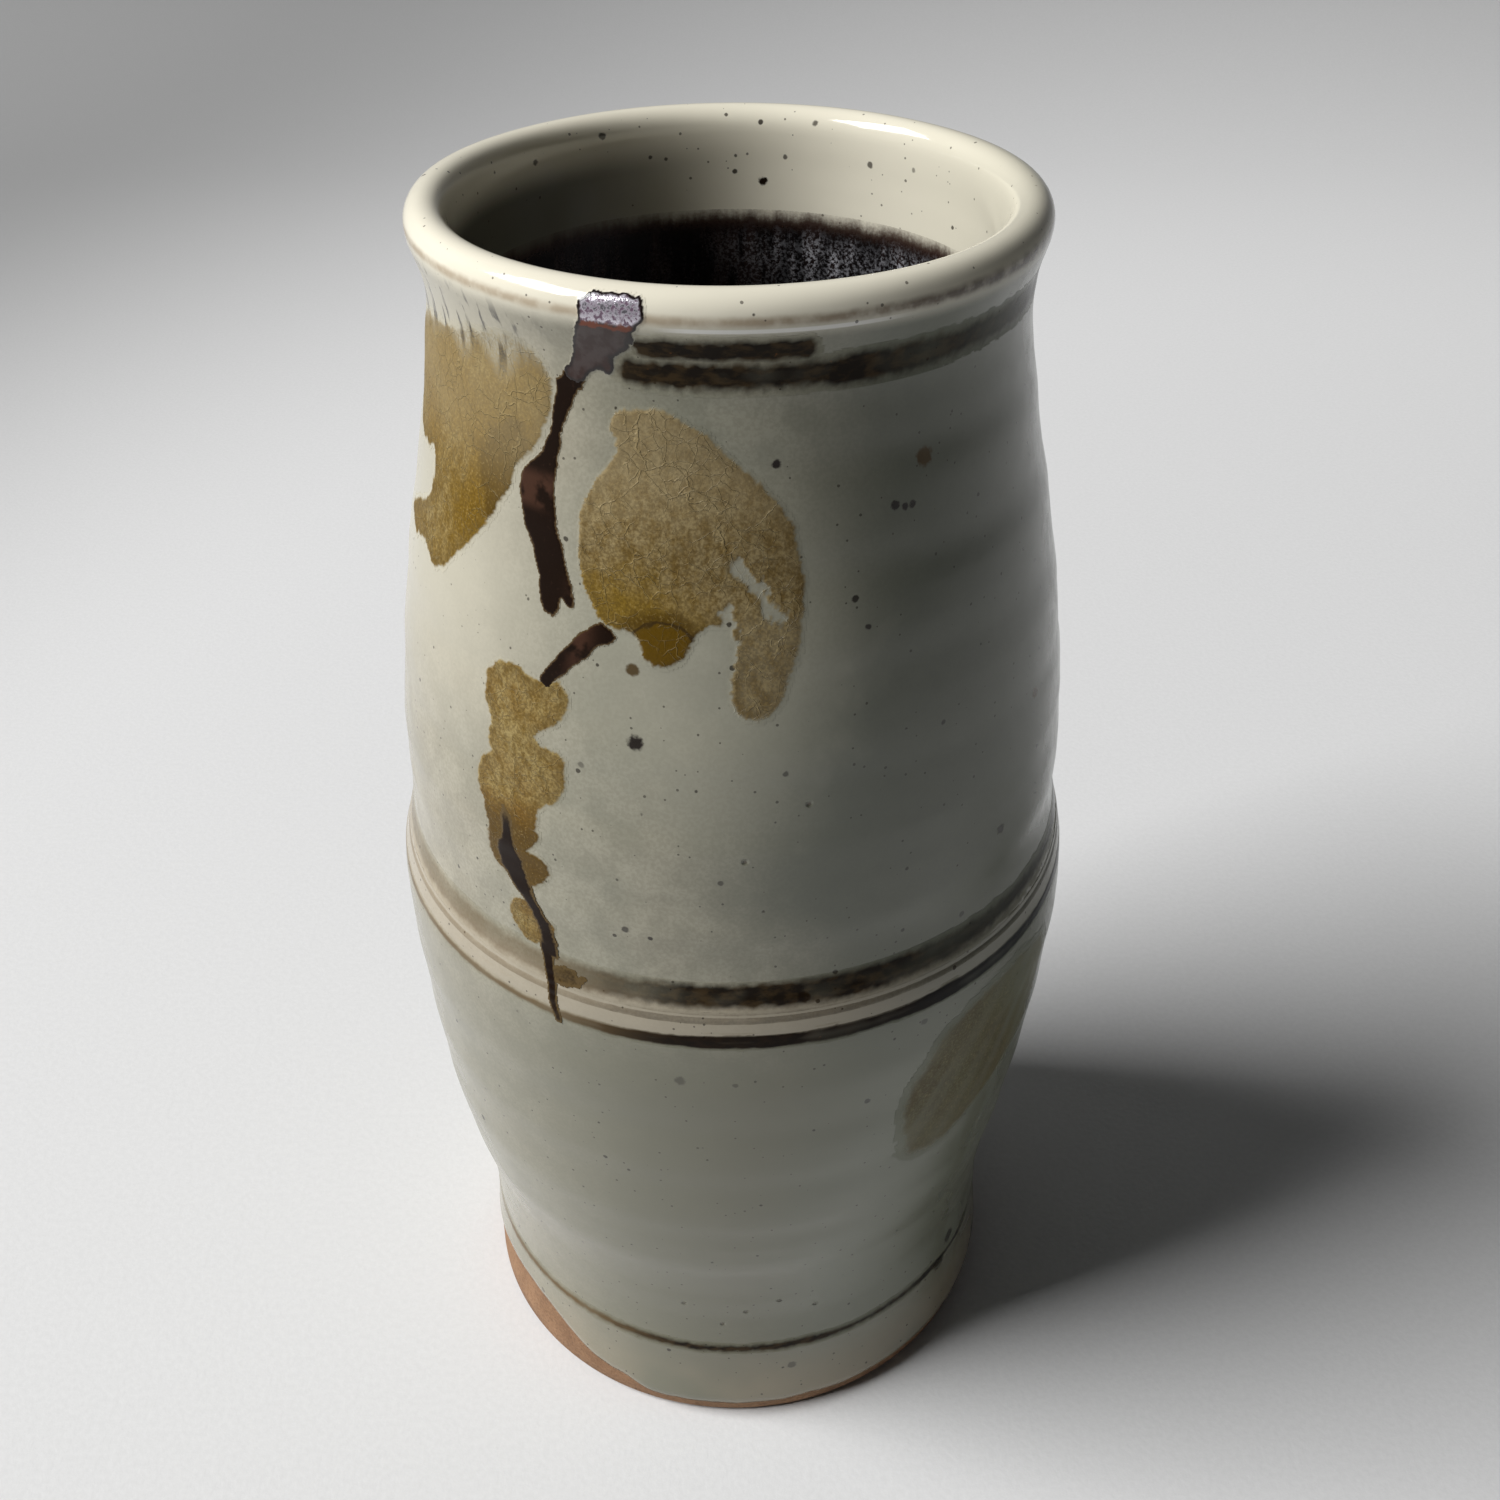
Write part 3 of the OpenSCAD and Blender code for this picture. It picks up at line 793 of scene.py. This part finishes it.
def leaf_material(name, tan, brown, gold, wash=1.0, crackle=1.0, gloss=0.16):
    """Ochre brushed over the glaze: mottled, finely crackled and darker in the pool."""
    sh = Shader(name)
    colour, rough, height = pale_glaze(sh)
    cover, pool, depth = map(sh.attribute, ("cover", "pool", "depth"))
    mottle = sh.noise(1.7, 5, 0.75, rough=0.7)
    fine = sh.noise(0.42, 3, offset=(3, 1, 7), rough=0.6)
    ochre = sh.mix(sh.step(mottle, 0.36, 0.66), tan, brown)
    lean = sh.plus(sh.times(sh.noise(12, 3, offset=(7, 0, 0)), 1.0),
                   sh.times(sh.attribute("gold"), 0.6))
    ochre = sh.over(ochre, gold, lean, 0.55, 1.0, 0, 0.9)
    ochre = sh.over(ochre, (0.09, 0.048, 0.002), pool, 0.08, 0.34, 0, 0.8)
    ochre = sh.over(ochre, (0.07, 0.04, 0.008), fine, 0.38, 0.6, 0.45, 0)
    ochre = sh.over(ochre, (0.45, 0.34, 0.15), fine, 0.56, 0.72, 0, 0.35)
    rim = sh.times(sh.step(depth, 0.1, 0.6), sh.step(depth, 2.2, 0.7), 0.3)
    ochre = sh.mix(rim, ochre, (0.11, 0.068, 0.018))
    ochre = sh.over(ochre, (0.44, 0.36, 0.215), sh.z, 184, 198, 0, 0.35)

    # The pool has a crisp dark contour
    ochre = sh.over(ochre, (0.125, 0.067, 0.002), pool, 0.45, 0.6, 0, 0.9)
    line = sh.step(sh.gap(pool, 0.47), 0.06, 0.015, 0, 0.75)
    ochre = sh.mix(line, ochre, (0.04, 0.022, 0.006))

    # Crackle: lines between cells that come and go
    warp = sh.add("TexNoise", {"Vector": sh.mm, "Scale": 1.0 / 2.2, "Detail": 2.0})
    warp = sh.vector("SUBTRACT", warp.outputs["Color"], (0.5, 0.5, 0.5))
    warp = sh.vector("ADD", sh.mm, sh.vector("MULTIPLY", warp, (1.6, 1.6, 1.6)))
    lines = 0.0
    for size, width, seen in ((4.6, 0.018, 0.48), (2.1, 0.028, 0.53)):
        edge = sh.cells(size, "DISTANCE_TO_EDGE", warp).outputs["Distance"]
        there = sh.step(sh.noise(6, 2, offset=(size, 4, 0)), seen - 0.08, seen + 0.06)
        lines = sh.plus(lines, sh.times(sh.step(edge, width, width * 0.25), there))
    lines = sh.times(sh.math("MINIMUM", lines, 1.0), crackle)
    ochre = sh.mix(sh.times(lines, 0.24), ochre, (0.42, 0.33, 0.16))
    worn = sh.plus(sh.times(cover, wash), sh.swing(fine, sh.step(cover, 0.95, 0.3, 0, 0.9)))
    colour = sh.over(colour, ochre, worn, 0.06, 0.86)
    height = sh.plus(height, sh.times(lines, cover, 0.11))
    height = sh.plus(height, sh.times(sh.swing(fine, cover), 0.05))
    rough = sh.mix(cover, rough, (0.4, 0.4, 0.4))
    return sh.finish(colour, rough, height, Specular_IOR_Level=gloss)


def iron_material(name, red, halo, edge=0.0):
    """Dark iron brushed thick: near black, red where it is thick, and olive at its edge."""
    sh = Shader(name)
    colour, rough, height = pale_glaze(sh)
    cover = sh.attribute("cover")
    fine = sh.noise(0.5, 3, offset=(1, 1, 8))
    thick = sh.step(sh.noise(3.2, 3, offset=(2, 6, 1)), 0.36, 0.54, 0, red)
    iron = sh.mix(sh.times(thick, sh.attribute("pool")), (0.012, 0.0055, 0.0028),
                  (0.066, 0.03, 0.018))
    iron = sh.over(iron, (0.055, 0.028, 0.018), fine, 0.6, 0.8, 0, 0.4)
    level = sh.times(cover, sh.attribute("tone"))
    level = sh.plus(level, sh.swing(fine, sh.step(level, 0.95, 0.3, 0, 0.7)))
    colour = sh.over(colour, halo, level, 0.0, 0.16, edge, 0.95)
    colour = sh.over(colour, iron, level, 0.22, 0.8)
    rough = sh.mix(cover, rough, (0.3, 0.3, 0.3))
    return sh.finish(colour, rough, height, Specular_IOR_Level=0.1)


def spot_material():
    """The iron splash on the lip: a purple metallic skin with pale lilac glints that are partly
    painted highlight, an orange rim and a dull run below.
    """
    sh = Shader("iron spot")
    colour, _, height = pale_glaze(sh)
    cover, depth, along = map(sh.attribute, ("cover", "depth", "along"))
    fine = sh.noise(0.5, 3, offset=(4, 2, 2))
    patch = sh.noise(1.6, 4)
    edge = s_outside(HEIGHT - 4.4 * UNIT)
    on_lip = sh.step(sh.plus(along, sh.swing(patch, 1.2)), edge + 0.1, edge + 0.8)
    run = sh.mix(sh.step(patch, 0.4, 0.62), (0.06, 0.04, 0.036), (0.034, 0.013, 0.009))
    # Partly real metallic lustre, partly painted highlight: pale lilac glints painted into the
    # skin's colour
    lustre_and_painted_glints = sh.mix(sh.step(fine, 0.37, 0.56), (0.19, 0.125, 0.175), (0.84, 0.79, 0.88))
    iron = sh.mix(on_lip, run, lustre_and_painted_glints)
    ragged = sh.times(sh.noise(0.9, 3, offset=(0, 5, 0)), 1.6)
    seam = sh.math("ABSOLUTE", sh.plus(along, sh.plus(ragged, -0.8 - edge)))
    iron = sh.over(iron, (0.19, 0.042, 0.013), seam, 0.52, 0.14, 0, 0.9)
    iron = sh.over(iron, (0.014, 0.008, 0.007), depth, 0.75, 0.25)
    level = sh.plus(cover, sh.swing(fine, sh.step(cover, 0.95, 0.3, 0, 0.5)))
    colour = sh.over(colour, iron, level, 0.15, 0.75)
    metal = sh.times(on_lip, sh.step(depth, 0.4, 0.9), sh.step(fine, 0.42, 0.6, 0.2, 0.9))
    height = sh.plus(height, sh.times(fine, on_lip, 0.05))
    return sh.finish(colour, sh.step(on_lip, 0, 1, 0.32, 0.17), height, Metallic=metal)


def wash_material(name, strong, weak, cool):
    """A thin brown line: its strength follows the brush, and it turns cool to the right."""
    sh = Shader(name)
    colour, rough, height = pale_glaze(sh)
    tone = sh.attribute("tone")
    fine = sh.noise(0.45, 3, offset=(1, 9, 1))
    clot = sh.noise(2.4, 4, 2.0, offset=(8, 3, 3))
    level = sh.times(sh.attribute("cover"), tone)
    level = sh.plus(level, sh.swing(fine, sh.step(level, 0.98, 0.25, 0, 0.35)))
    ink = sh.mix(sh.step(clot, 0.34, 0.6), weak, strong)
    ink = sh.over(ink, (0.165, 0.11, 0.052), sh.x, -8, -32, 0, 0.85)
    ink = sh.over(ink, cool, sh.x, 18, 46, 0, 0.75)
    rust = sh.times(sh.step(sh.noise(1.3, 2, offset=(0, 2, 9)), 0.74, 0.82, 0, 0.7), tone)
    ink = sh.mix(rust, ink, (0.16, 0.06, 0.016))
    level = sh.times(level, sh.step(sh.attribute("depth"), 1.3, 0.3, 0.88, 1.0))
    colour = sh.mix(sh.math("MINIMUM", sh.times(level, 1.08), 0.98), colour, ink)
    return sh.finish(colour, rough, height, Specular_IOR_Level=0.06)


def liner_material():
    """Near-black iron glaze: brown where it thins, with runs and a lilac bloom lower down. The
    bloom is painted only on the right, where light falls inside, so its one-sidedness is painted
    light and shade.
    """
    sh = Shader("dark liner glaze")
    pale, _, height = pale_glaze(sh)
    runs = sh.noise(2.6, 4, 0.1)
    fine = sh.noise(0.55, 4, offset=(6, 1, 1), rough=0.7)
    below = sh.plus(sh.plus(sh.attribute("along"), -S_COLLAR), sh.swing(runs, 3.0))
    dark = sh.mix(sh.step(runs, 0.4, 0.7, 0, 0.8), (0.006, 0.005, 0.005), (0.03, 0.018, 0.016))
    # Partly painted light: the real bloom is kept to the right, where light falls in through the
    # mouth, and left out on the shaded left
    bloom = sh.times(sh.step(below, 1.5, 8.0), sh.step(runs, 0.42, 0.58, 0.3, 1),
                     sh.step(sh.noise(16, 2, offset=(0, 30, 0)), 0.3, 0.52, 0.35, 1),
                     sh.step(fine, 0.45, 0.6), sh.step(sh.x, -6, 16, 0.05, 1), 0.92)
    dark = sh.mix(bloom, dark, (0.5, 0.5, 0.54))
    brown = sh.mix(sh.step(fine, 0.4, 0.6), (0.035, 0.016, 0.011), (0.09, 0.055, 0.04))
    colour = sh.mix(sh.step(sh.plus(below, sh.times(fine, 2.0)), -0.4, 3.0), pale, brown)
    colour = sh.over(colour, dark, sh.plus(below, sh.times(fine, 3.0)), 1.6, 5.2)
    return sh.finish(colour, 0.22, height)


def clay_material():
    """Toasted stoneware body: orange brown, open and gritty, darker at the foot's edge."""
    sh = Shader("bare clay")
    broad, fine = sh.noise(8, 4), sh.noise(0.6, 5, rough=0.7)
    colour = sh.mix(sh.step(broad, 0.35, 0.65), (0.34, 0.19, 0.098), (0.25, 0.135, 0.068))
    colour = sh.over(colour, (0.16, 0.09, 0.052), fine, 0.36, 0.52, 0.55, 0)
    colour = sh.over(colour, (0.47, 0.32, 0.2), fine, 0.56, 0.75, 0, 0.5)
    colour = sh.over(colour, (0.08, 0.048, 0.03), sh.z, 1.0, 0.3, 0, 0.6)
    grit, lot = sh.cells_and_lots(2.1)
    dot = sh.times(sh.step(grit.outputs["Distance"], 0.16, 0.08), sh.step(lot, 0.6, 0.7), 0.8)
    colour = sh.mix(dot, colour, (0.07, 0.045, 0.03))
    height = sh.plus(sh.times(fine, 0.14), sh.times(sh.noise(2.5, 3), 0.1))
    return sh.finish(colour, sh.step(fine, 0.3, 0.7, 0.92, 0.74), height)


# ---- Build the pieces ----

def leaf_shape(az, z, cover):
    """The right leaf: a pool at its foot, two dry scratches and a thinner tail."""
    degrees = np.degrees(az)
    away = np.hypot((degrees + 10.8) / 6.3, (z - 169.6) / 5.2)
    pool = 1.35 - 0.85 * away + 0.09 * cloud(az, z, 3, 52, 3) + 0.05 * cloud(az, z, 0.9, 53, 2)
    cover = cover * (0.15 + 0.85 * scratch(az, z, ((1.5, 182.5), (7.5, 176.0)), 1.5, 61))
    cover = cover * (0.1 + 0.9 * scratch(az, z, ((-0.8, 176.5), (-0.2, 171.0)), 1.3, 63))
    tail = smoothstep(-1.5, 1.5, degrees) * smoothstep(181, 174, z)
    gold = smoothstep(190, 172, z) * smoothstep(2, -16, degrees)
    return cover * (1 - 0.3 * tail), {"pool": np.clip(pool, 0, 1), "gold": gold}


def left_leaf_shape(az, z, cover):
    """The left leaf: thin and streaked at its top, with a darker patch in its right half."""
    degrees = np.degrees(az)
    top = smoothstep(199, 207, z + 2.5 * cloud(az, z * 0.1, 5, 71, 2))
    away = np.hypot((degrees + 42) / 8, (z - 190) / 8)
    pool = 0.52 * smoothstep(1.4, 0.3, away + 0.3 * cloud(az, z, 4, 73, 3))
    gold = 0.55 + 0.45 * smoothstep(1.6, 0.4, away)
    return cover * (1 - 0.65 * top), {"pool": np.clip(pool, 0, 0.36), "gold": gold}


def spray_shape(az, z, cover):
    """The spray: orange brown low down, where the streak begins."""
    gold = smoothstep(146, 136, z) * smoothstep(126, 132, z)
    return cover, {"pool": 0.35 * gold, "gold": 0.35 + gold}


def low_leaf_shape(az, z, cover):
    """The low leaf: a thin wash in slanted strokes, greener and thinner at its right."""
    degrees = np.degrees(az)
    across = degrees + (z - 85) * -0.62
    strokes = cloud(np.radians(across), z, 3.2, 133, 2, stretch=9)
    right = smoothstep(50, 60, degrees + (z - 85) * 0.35)
    cover = cover * (0.85 - 0.3 * right + 0.22 * strokes)
    return cover, {"pool": 0 * az, "gold": 0.3 + 0.5 * right}


def stem_shape(az, z, cover):
    """A loaded stroke, red where it lay thick: below the bend and at the lower stem's right."""
    degrees = np.degrees(az)
    red = smoothstep(192.5, 190.5, z) * smoothstep(186, 188, z)
    red = red + hump(degrees, -24.6, 2.2) * smoothstep(180, 178, z)
    return cover, {"tone": 1.0 + 0 * az, "pool": np.clip(red, 0, 1)}


def streak_shape(az, z, cover):
    """The streak, with the thin tail that crosses the belly lines and a smudge beside it."""
    degrees = np.degrees(az)
    tone = 0.2 + 0.72 * smoothstep(143, 137, z)
    down = np.clip((118.5 - z) / 12.0, 0, 1)
    centre = -31.3 + 3.3 * down + 0.5 * cloud(0 * az, z, 5, 163, 2)
    away = np.abs(degrees - centre) / 180 * math.pi * MEAN_R
    tail = smoothstep(0.62, 0.22, away - 0.35 * (1 - down)) * smoothstep(106.2, 107.5, z)
    tail = tail * smoothstep(121, 118.5, z) * (0.9 - 0.25 * down)
    smudge = np.hypot((degrees + 27.8) / 3.2, (z - 115.0) / 1.7) + 0.55 * cloud(az, z, 1.5, 165, 3)
    smudge = 0.45 * smoothstep(1.2, 0.4, smudge)
    below = smoothstep(119.5, 117.5, z)
    more = np.maximum(tail, smudge) * np.maximum(below, tail > smudge)
    return (np.maximum(cover, more),
            {"tone": np.where(more > cover, 1.0, tone), "pool": 0 * az})


pale = pale_glaze_material()
build_clay(clay_material())
build_dip_glaze(pale)
build_liner(liner_material())

ochre = leaf_material("ochre leaf", (0.355, 0.272, 0.132), (0.205, 0.133, 0.04),
                      (0.235, 0.142, 0.012))
amber = leaf_material("amber leaf", (0.322, 0.24, 0.096), (0.186, 0.118, 0.028),
                      (0.2, 0.112, 0.006), gloss=0.05)
sprig = leaf_material("ochre spray", (0.385, 0.29, 0.115), (0.215, 0.138, 0.032),
                      (0.19, 0.095, 0.008), crackle=0.8)
olive = leaf_material("olive wash", (0.165, 0.146, 0.068), (0.105, 0.086, 0.036),
                      (0.18, 0.18, 0.09), wash=0.74, crackle=0.0)
build_film("right_leaf", "ochre_glaze", ochre, 0.3, 0.42, (0.3, 0.26), 0.12, 101, leaf_shape)
build_film("left_leaf", "ochre_glaze", amber, 0.32, 0.5, (0.35, 0.35), 0.12, 111, left_leaf_shape)
build_film("flower_spray", "ochre_glaze", sprig, 0.26, 0.38, (0.2, 0.3), 0.09, 121, spray_shape,
           grow=0.3)
build_film("low_leaf", "olive_glaze", olive, 0.45, 1.1, (0.6, 0.3), 0.04, 131, low_leaf_shape)

stem = iron_material("iron stem", 0.9, (0.085, 0.048, 0.016))
streak = iron_material("iron streak", 0.0, (0.11, 0.068, 0.022), edge=0.95)
build_film("upper_stem", "iron_brush", stem, 0.2, 0.3, (0.1, 0.22), 0.07, 141, stem_shape,
           grow=0.15, least=0.08, lift=0.05)
build_film("lower_stem", "iron_brush", stem, 0.18, 0.28, (0.1, 0.2), 0.07, 151, stem_shape,
           grow=0.1, least=0.08, lift=0.06)
build_film("spray_streak", "iron_brush", streak, 0.2, 0.4, (0.15, 0.25), 0.04, 161,
           streak_shape, reach=11.5, least=0.1, lift=0.12)
build_film("rim_iron_spot", "iron_spot", spot_material(), 0.18, 0.22, (0.38, 0.3), 0.12, 171,
           lambda az, z, cover: (cover, {}), grow=0.1)

soft = wash_material("soft brown line", (0.009, 0.0045, 0.0018), (0.046, 0.027, 0.01),
                     (0.024, 0.024, 0.02))
dark = wash_material("dark line", (0.008, 0.004, 0.0025), (0.016, 0.008, 0.004),
                     (0.013, 0.016, 0.019))


def front_right(degrees, low, high):
    """0 to the left of low, 1 to the right of high, and back to 0 round the back."""
    return smoothstep(low, high, degrees) * smoothstep(176, 115, degrees)


def lower_neck_tone(degrees):
    return 1.14 - 0.3 * smoothstep(8, 36, degrees), 1.35


def belly_upper_tone(degrees):
    strong = 0.52 + 0.48 * hump(degrees, 12, 28) + 0.3 * front_right(degrees, 35, 60)
    return np.clip(1.1 * strong, 0, 1.1), 1.7 - 0.75 * front_right(degrees, 25, 60)


def belly_lower_tone(degrees):
    return (0.8 + 0.24 * front_right(degrees, -36, -12),
            0.8 + 0.85 * front_right(degrees, -38, -5))


def foot_tone(degrees):
    return 1.0 + 0.16 * np.cos(np.radians(degrees) - 0.7) ** 2, 1.5


build_line("neck_line_upper", "soft_brush", soft, 0.04, 201, lambda degrees: (1.1, 1.9), 0.1, 0.8,
           closed=False)
build_line("neck_line_lower", "soft_brush", soft, 0.04, 211, lower_neck_tone, 0.3, 0.95,
           closed=False)
build_line("belly_line_upper", "soft_brush", soft, 0.04, 221, belly_upper_tone, 0.35, 0.9)
build_line("belly_line_middle", "soft_brush", soft, 0.02, 231, lambda degrees: (0.45, 1.7), 0.3,
           0.5)
build_line("belly_line_lower", "iron_brush", dark, 0.06, 241, belly_lower_tone, 0.25, 0.28)
build_line("foot_line", "soft_brush", soft, 0.02, 251, foot_tone, 0.5, 0.7)


# ---- Camera, lights and floor ----

def build_stage():
    """A pale floor that curves up into a wall behind the vase. It is painted darker away from the
    vase, a painted pool of light.
    """
    half, wall_y, wall_top, bend = 2.6, 0.95, 1.4, 0.3
    path = [(-1.6, 0.0), (wall_y - bend, 0.0)]
    for k in range(1, 17):
        turn = math.radians(90 * k / 16)
        path.append((wall_y - bend + bend * math.sin(turn), bend - bend * math.cos(turn)))
    path.append((wall_y, wall_top))
    points = np.array([(x, y, z) for y, z in path for x in (-half, half)]) / MM
    faces = [[2 * k, 2 * k + 1, 2 * k + 3, 2 * k + 2] for k in range(len(path) - 1)]
    floor = make_object("floor", points, faces, {})
    sh = Shader("pale floor")
    grain = sh.noise(1.2, 4)
    colour = sh.mix(sh.step(grain, 0.3, 0.7), (0.77, 0.77, 0.77), (0.8, 0.8, 0.8))
    # Painted pool of light: the floor and wall are painted darker with distance from the vase, most
    # to the left and back
    away = sh.plus(sh.distance(sh.mm, (0, 0, 0)), sh.times(sh.x, -0.45))
    away = sh.plus(away, sh.times(sh.y, -0.2))
    colour = sh.over(colour, (0.21, 0.21, 0.21), away, 290, 800, 0, 0.88)
    floor.data.materials.append(sh.finish(colour, 0.75, sh.times(grain, 0.05)))


def build_window():
    """The one lamp: a tall window up on the left, slightly in front."""
    az, up, distance = math.radians(-82), math.radians(42), 6.5
    data = bpy.data.lights.new("window", "AREA")
    data.shape = "RECTANGLE"
    data.size, data.size_y, data.energy = 4.0, 2.6, 590
    toward = Vector((math.sin(az) * math.cos(up), -math.cos(az) * math.cos(up), math.sin(up)))
    lamp = new_object("window", data)
    lamp.location = toward * distance + Vector((0, 0, HEIGHT * MM / 2))
    lamp.rotation_euler = toward.to_track_quat("Z", "Y").to_euler()


build_stage()
build_window()

world = bpy.data.worlds.new("studio")
world.use_nodes = True
background = world.node_tree.nodes["Background"].inputs
background["Color"].default_value = (0.95, 0.98, 1.0, 1)
background["Strength"].default_value = 0.02
bpy.context.scene.world = world
bpy.context.scene.view_settings.view_transform = "Standard"

# The camera stands over the vase's front, as far away and as high as these shares of its height
CAMERA_BACK, CAMERA_UP = 1.0757, 1.3683
CAMERA_DOWN, CAMERA_RIGHT = 37.15, 0.707      # degrees that it looks down, and to the right
camera_data = bpy.data.cameras.new("camera")
camera_data.lens, camera_data.sensor_width = 41.4, 36
camera = new_object("camera", camera_data)
camera.location = (0, -CAMERA_BACK * HEIGHT * MM, CAMERA_UP * HEIGHT * MM)
camera.rotation_euler = (math.radians(90 - CAMERA_DOWN), 0, math.radians(-CAMERA_RIGHT))
bpy.context.scene.camera = camera
